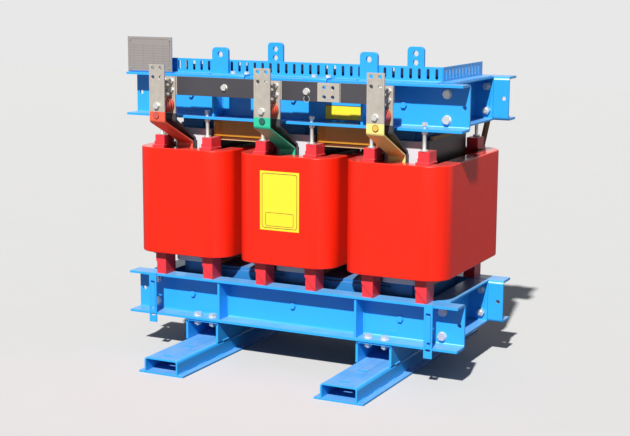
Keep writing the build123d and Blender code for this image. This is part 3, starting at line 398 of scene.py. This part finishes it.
tree.links.new(streak.outputs["Fac"], level.inputs["Height"])
tree.links.new(tree.nodes["Bump"].outputs["Normal"], level.inputs["Normal"])
tree.links.new(level.outputs["Normal"], tree.nodes["Principled BSDF"].inputs["Normal"])
shader = tree.nodes["Principled BSDF"]
grained = shader.inputs["Roughness"].links[0].from_socket
facing_up = coordinate(tree, "ShaderNodeNewGeometry", "Normal", "Z")
poured = ranged(tree, facing_up, 0.6, 0.95, 1.0, 0.35)
tree.links.new(step(tree, "MULTIPLY", grained, poured), shader.inputs["Roughness"])
dress(["hv_coil_u", "hv_coil_v", "hv_coil_w"], resin, 0.001)

pale = finish("inner_coil", (0.50, 0.50, 0.54), (0.60, 0.60, 0.63), (0.3, 0.42), 0.1)
tree = pale.node_tree
# Painted shade: faces turned towards the row's ends are painted near black.
painted_shade_sides = step(tree, "ABSOLUTE", coordinate(tree, "ShaderNodeNewGeometry", "Normal", "X"))
over_base(tree, ranged(tree, painted_shade_sides, 0.45, 0.75), (0.012, 0.011, 0.013))
dress(["lv_coil_u", "lv_coil_v", "lv_coil_w"], pale, 0.001)

# ------------------------------------------------------------------ resin blocks
# Moulded support blocks, their pads, and the ribbed insulators of the bars.
block = finish("block_resin", (0.55, 0.022, 0.030), (0.68, 0.036, 0.050), (0.25, 0.4), 0.12)
dress(["low_blocks", "top_blocks", "block_pads"], block, 0.001)
insulator = finish("insulator_resin", (0.50, 0.06, 0.03), (0.62, 0.10, 0.05), (0.2, 0.3), 0.05)
dress(["lv_insulators", "hv_posts"], insulator, 0.0015)

# ------------------------------------------------------------------ bars
# Tinned bars.  Each phase bar is painted in its own colour from just under the
# insulator down; the star bars and the neutral bar carry black sleeve.
tinned = finish(
    "tinned_bar", (0.41, 0.37, 0.32), (0.54, 0.50, 0.44), (0.34, 0.50), 0.12,
    drift=9.0, dust=0.0, Metallic=0.35,
)
dress(
    ["neutral_terminal_pad", "neutral_bar", "star_bar_u", "star_bar_v", "star_bar_w"],
    tinned, 0.0005,
)
sleeve = finish("heat_shrink", (0.030, 0.028, 0.034), (0.060, 0.058, 0.066), (0.4, 0.5), 0.15)
dress(["bar_sleeves"], sleeve, 0.0005)
bands = {
    "u": ((0.68, 0.085, 0.045), (0.76, 0.11, 0.06)),
    "v": ((0.018, 0.40, 0.22), (0.030, 0.48, 0.28)),
    "w": ((0.74, 0.58, 0.16), (0.82, 0.66, 0.22)),
}
paint_top = 0.8715
for phase, (dark, light) in bands.items():
    band = finish("band_" + phase, dark, light, (0.3, 0.4), 0.1)
    tree = band.node_tree
    shader = tree.nodes["Principled BSDF"]
    place = tree.nodes.new("ShaderNodeTexCoord")
    grey = tree.nodes.new("ShaderNodeTexNoise")
    grey.inputs["Scale"].default_value = 45.0
    grey.inputs["Detail"].default_value = 5.0
    bare = tree.nodes.new("ShaderNodeMix")
    bare.data_type = "RGBA"
    bare.inputs["A"].default_value = (0.38, 0.34, 0.29, 1)
    bare.inputs["B"].default_value = (0.55, 0.51, 0.45, 1)
    tree.links.new(place.outputs["Object"], grey.inputs["Vector"])
    tree.links.new(grey.outputs["Fac"], bare.inputs["Factor"])
    height = coordinate(tree, "ShaderNodeTexCoord", "Object", "Z")
    unpainted = ranged(tree, height, paint_top, paint_top + 0.0007)
    over_base(tree, unpainted, None, bare.outputs["Result"])
    tree.links.new(step(tree, "MULTIPLY", unpainted, 0.35), shader.inputs["Metallic"])
    dress(["lv_bar_" + phase], band, 0.0005)

# The sleeve closes round each support bolt of the neutral bar.
neutral_z, outer, bore, front, back = 0.956, 0.0265, 0.0125, -0.3274, -0.3262
for index, x in enumerate((-0.192, 0.114)):
    rings, around = [], 48
    for radius, y in ((outer, front), (outer, back), (bore, back), (bore, front)):
        for k in range(around):
            angle = 2 * math.pi * k / around
            rings.append((x + radius * math.cos(angle), y, neutral_z + radius * math.sin(angle)))
    sides = []
    for a in range(4):
        b = (a + 1) % 4
        for k in range(around):
            n = (k + 1) % around
            sides.append((a * around + k, b * around + k, b * around + n, a * around + n))
    shape = bpy.data.meshes.new("sleeve_collar_" + str(index))
    shape.from_pydata(rings, [], sides)
    shape.materials.append(sleeve)
    collar = bpy.data.objects.new("sleeve_collar_" + str(index), shape)
    bpy.context.collection.objects.link(collar)
    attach(collar, "root")

# A blank round mark under each phase bolt and one at the neutral bar's lower edge.
mark_radius = 0.0108
for index, (x, y, z, inner_tone, rim_tone) in enumerate((
    (-0.4132, -0.4034, 0.8591, (0.48, 0.08, 0.06), (0.30, 0.03, 0.03)),
    (-0.0090, -0.4034, 0.8602, (0.020, 0.105, 0.095), (0.008, 0.025, 0.03)),
    (0.3913, -0.4034, 0.8589, (0.66, 0.40, 0.065), (0.03, 0.025, 0.02)),
    (0.1143, -0.3276, 0.9323, (0.020, 0.022, 0.026), (0.42, 0.43, 0.45)),
)):
    worn = [0.9 * tone for tone in inner_tone]
    mark = finish("round_mark_" + str(index), inner_tone, worn, (0.4, 0.5), 0.05, dust=0.0)
    tree = mark.node_tree
    place = tree.nodes.new("ShaderNodeTexCoord")
    apart = tree.nodes.new("ShaderNodeVectorMath")
    apart.operation = "DISTANCE"
    apart.inputs[1].default_value = (x, y, z)
    tree.links.new(place.outputs["Object"], apart.inputs[0])
    over_base(tree, ranged(tree, apart.outputs["Value"], 0.0092, 0.0096), rim_tone)
    cut = bmesh.new()
    bmesh.ops.create_cone(
        cut, cap_ends=True, segments=48, radius1=mark_radius, radius2=mark_radius, depth=0.0005
    )
    bmesh.ops.rotate(cut, verts=cut.verts, matrix=Matrix.Rotation(math.radians(90), 3, "X"))
    bmesh.ops.translate(cut, verts=cut.verts, vec=(x, y, z))
    shape = bpy.data.meshes.new("round_mark_" + str(index))
    cut.to_mesh(shape)
    cut.free()
    shape.materials.append(mark)
    disc = bpy.data.objects.new("round_mark_" + str(index), shape)
    bpy.context.collection.objects.link(disc)
    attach(disc, "root")

# ------------------------------------------------------------------ sheets
# Translucent amber laminate between the inner coils.
amber = finish(
    "amber_sheet", (0.42, 0.17, 0.010), (0.60, 0.29, 0.025), (0.12, 0.20), 0.03,
    drift=8.0, dust=0.0, Transmission_Weight=0.15,
)
dress(["barrier_sheets"], amber, 0.0004)

# ------------------------------------------------------------------ high-voltage side
# Brass studs and links, and rods in olive insulating sleeve.
brass = finish(
    "brass", (0.60, 0.42, 0.16), (0.74, 0.55, 0.25), (0.25, 0.4), 0.1, dust=0.0, Metallic=0.95
)
dress(["hv_terminals", "hv_tap_studs", "hv_tap_links"], brass, 0.0005)
olive = finish("olive_sleeve", (0.20, 0.15, 0.05), (0.28, 0.22, 0.09), (0.4, 0.5), 0.1)
dress(["hv_connections"], olive, 0.0005)

# ------------------------------------------------------------------ fasteners
# Bright zinc on every bolt that is not painted over.
zinc = finish(
    "zinc", (0.62, 0.61, 0.58), (0.78, 0.77, 0.74), (0.30, 0.42), 0.1,
    drift=30.0, dust=0.1, Metallic=0.6,
)
dress(
    [
        "foot_bolts", "bottom_end_bolts", "top_end_bolts",
        "press_studs", "bracket_bolts", "lv_bar_bolts",
    ],
    zinc, 0.0006,
)

# ------------------------------------------------------------------ plates
# A bare plate ruled like an empty form, and two blank yellow sheets with plain
# black frames.  Nothing on them is lettered.
bare = finish(
    "bare_plate", (0.29, 0.26, 0.245), (0.37, 0.34, 0.325), (0.35, 0.5), 0.05,
    dust=0.0, Metallic=0.5,
)
tree = bare.node_tree
place = tree.nodes.new("ShaderNodeTexCoord")
split = tree.nodes.new("ShaderNodeSeparateXYZ")
flat = tree.nodes.new("ShaderNodeCombineXYZ")
form = tree.nodes.new("ShaderNodeTexBrick")
form.offset = 0.0
form.inputs["Scale"].default_value = 1.0
form.inputs["Mortar Size"].default_value = 0.00045
form.inputs["Mortar Smooth"].default_value = 0.3
form.inputs["Brick Width"].default_value = 0.040
form.inputs["Row Height"].default_value = 0.0088
form.inputs["Color1"].default_value = (0, 0, 0, 1)
form.inputs["Color2"].default_value = (0, 0, 0, 1)
form.inputs["Mortar"].default_value = (1, 1, 1, 1)
tree.links.new(place.outputs["Object"], split.inputs["Vector"])
tree.links.new(split.outputs["X"], flat.inputs["X"])
tree.links.new(split.outputs["Z"], flat.inputs["Y"])
tree.links.new(flat.outputs["Vector"], form.inputs["Vector"])
inside = step(tree, "COMPARE", split.outputs["Z"], 1.047, 0.042)
across_plate = step(tree, "COMPARE", split.outputs["X"], -0.535, 0.078)
ruled = step(tree, "MULTIPLY", form.outputs["Fac"], step(tree, "MULTIPLY", inside, across_plate))
over_base(tree, step(tree, "MULTIPLY", ruled, 0.55), (0.05, 0.05, 0.05))
dress(["nameplate", "nameplate_rivets"], bare, 0.0003)

framed = bpy.data.node_groups.new("rounded_frame", "ShaderNodeTree")
for label in ("Across", "Up", "Half Width", "Half Height", "Corner", "Line"):
    framed.interface.new_socket(label, in_out="INPUT", socket_type="NodeSocketFloat")
framed.interface.new_socket("Mask", in_out="OUTPUT", socket_type="NodeSocketFloat")
into = framed.nodes.new("NodeGroupInput")
out_of = framed.nodes.new("NodeGroupOutput")


def beyond(along, half):
    """How far a coordinate lies outside the straight part of a frame's side."""
    size = step(framed, "ABSOLUTE", into.outputs[along])
    straight = step(framed, "SUBTRACT", into.outputs[half], into.outputs["Corner"])
    return step(framed, "MAXIMUM", step(framed, "SUBTRACT", size, straight), 0.0)


dx, dz = beyond("Across", "Half Width"), beyond("Up", "Half Height")
squares = step(framed, "MULTIPLY", dx, dx), step(framed, "MULTIPLY", dz, dz)
reach = step(framed, "SQRT", step(framed, "ADD", *squares))
apart = step(framed, "ABSOLUTE", step(framed, "SUBTRACT", reach, into.outputs["Corner"]))
on_line = step(framed, "LESS_THAN", apart, into.outputs["Line"])
framed.links.new(on_line, out_of.inputs["Mask"])


def blank_sheet(name, frames):
    """Yellow sheet with black frames: x, z, half width, half height, corner and line."""
    made = finish(name, (0.80, 0.58, 0.02), (0.86, 0.64, 0.04), (0.35, 0.45), 0.03, dust=0.0)
    tree = made.node_tree
    place = tree.nodes.new("ShaderNodeTexCoord")
    split = tree.nodes.new("ShaderNodeSeparateXYZ")
    tree.links.new(place.outputs["Object"], split.inputs["Vector"])
    total = None
    for x, z, half_w, half_h, corner, line in frames:
        one = tree.nodes.new("ShaderNodeGroup")
        one.node_tree = framed
        one.inputs["Half Width"].default_value = half_w
        one.inputs["Half Height"].default_value = half_h
        one.inputs["Corner"].default_value = corner
        one.inputs["Line"].default_value = line
        tree.links.new(step(tree, "SUBTRACT", split.outputs["X"], x), one.inputs["Across"])
        tree.links.new(step(tree, "SUBTRACT", split.outputs["Z"], z), one.inputs["Up"])
        mask = one.outputs["Mask"]
        total = mask if total is None else step(tree, "MAXIMUM", total, mask)
    over_base(tree, total, (0.02, 0.02, 0.02))
    return made


coil_sheet = blank_sheet(
    "coil_sheet",
    [
        (-0.004, 0.582, 0.0655, 0.092, 0.009, 0.0011),
        (-0.004, 0.519, 0.052, 0.0225, 0.004, 0.0009),
    ],
)
dress(["coil_label"], coil_sheet, 0.0001)
clamp_sheet = blank_sheet("clamp_sheet", [(0.183, 0.879, 0.0652, 0.0232, 0.0035, 0.0014)])
dress(["label_plate"], clamp_sheet, 0.0001)

# ------------------------------------------------------------------ camera
# The photograph's own viewing angle: from the front right, a little above.
yaw, pitch, roll = math.radians(26.325), math.radians(9.960), math.radians(0.316)
ahead = Vector((-math.sin(yaw) * math.cos(pitch), math.cos(yaw) * math.cos(pitch), -math.sin(pitch)))
across = Vector((math.cos(yaw), math.sin(yaw), 0))
above = across.cross(ahead)
right = math.cos(roll) * across + math.sin(roll) * above
up = -math.sin(roll) * across + math.cos(roll) * above
lens = bpy.data.cameras.new("camera")
lens.lens = 78.86
lens.sensor_width = 36.0
camera = bpy.data.objects.new("camera", lens)
turn = Matrix((right, up, -ahead)).transposed().to_4x4()
camera.matrix_world = Matrix.Translation((2.1172, -4.3093, 1.3245)) @ turn
bpy.context.collection.objects.link(camera)
bpy.context.scene.camera = camera

# ------------------------------------------------------------------ light
# One key from the front, a little to the right and well above, in a dim cool room
# that leaves shaded faces deep.  Camera, glass and gloss see a pale surround.
key = bpy.data.lights.new("key", "SUN")
key.energy = 6.3
key.angle = math.radians(1.6)
key.color = (1.0, 0.985, 0.96)
holder = bpy.data.objects.new("key", key)
bearing, height = math.radians(12.0), math.radians(42.0)
level = math.cos(height)
way = Vector((math.sin(bearing) * level, -math.cos(bearing) * level, math.sin(height)))
holder.location = way * 6.0
holder.rotation_euler = (-way).to_track_quat("-Z", "Y").to_euler()
bpy.context.collection.objects.link(holder)

world = bpy.data.worlds.new("room")
bpy.context.scene.world = world
world.use_nodes = True
tree = world.node_tree
tree.nodes.clear()
out = tree.nodes.new("ShaderNodeOutputWorld")
seen = tree.nodes.new("ShaderNodeBackground")
seen.inputs["Color"].default_value = (0.806, 0.806, 0.806, 1)
room = tree.nodes.new("ShaderNodeBackground")
room.inputs["Color"].default_value = (0.66, 0.76, 1.0, 1)
room.inputs["Strength"].default_value = 0.14
pick = tree.nodes.new("ShaderNodeMixShader")
path = tree.nodes.new("ShaderNodeLightPath")
direct = step(tree, "MAXIMUM", path.outputs["Is Camera Ray"], path.outputs["Is Transmission Ray"])
tree.links.new(step(tree, "MAXIMUM", direct, path.outputs["Is Glossy Ray"]), pick.inputs["Fac"])
tree.links.new(room.outputs["Background"], pick.inputs[1])
tree.links.new(seen.outputs["Background"], pick.inputs[2])
tree.links.new(pick.outputs["Shader"], out.inputs["Surface"])
bpy.context.scene.view_settings.view_transform = "Standard"
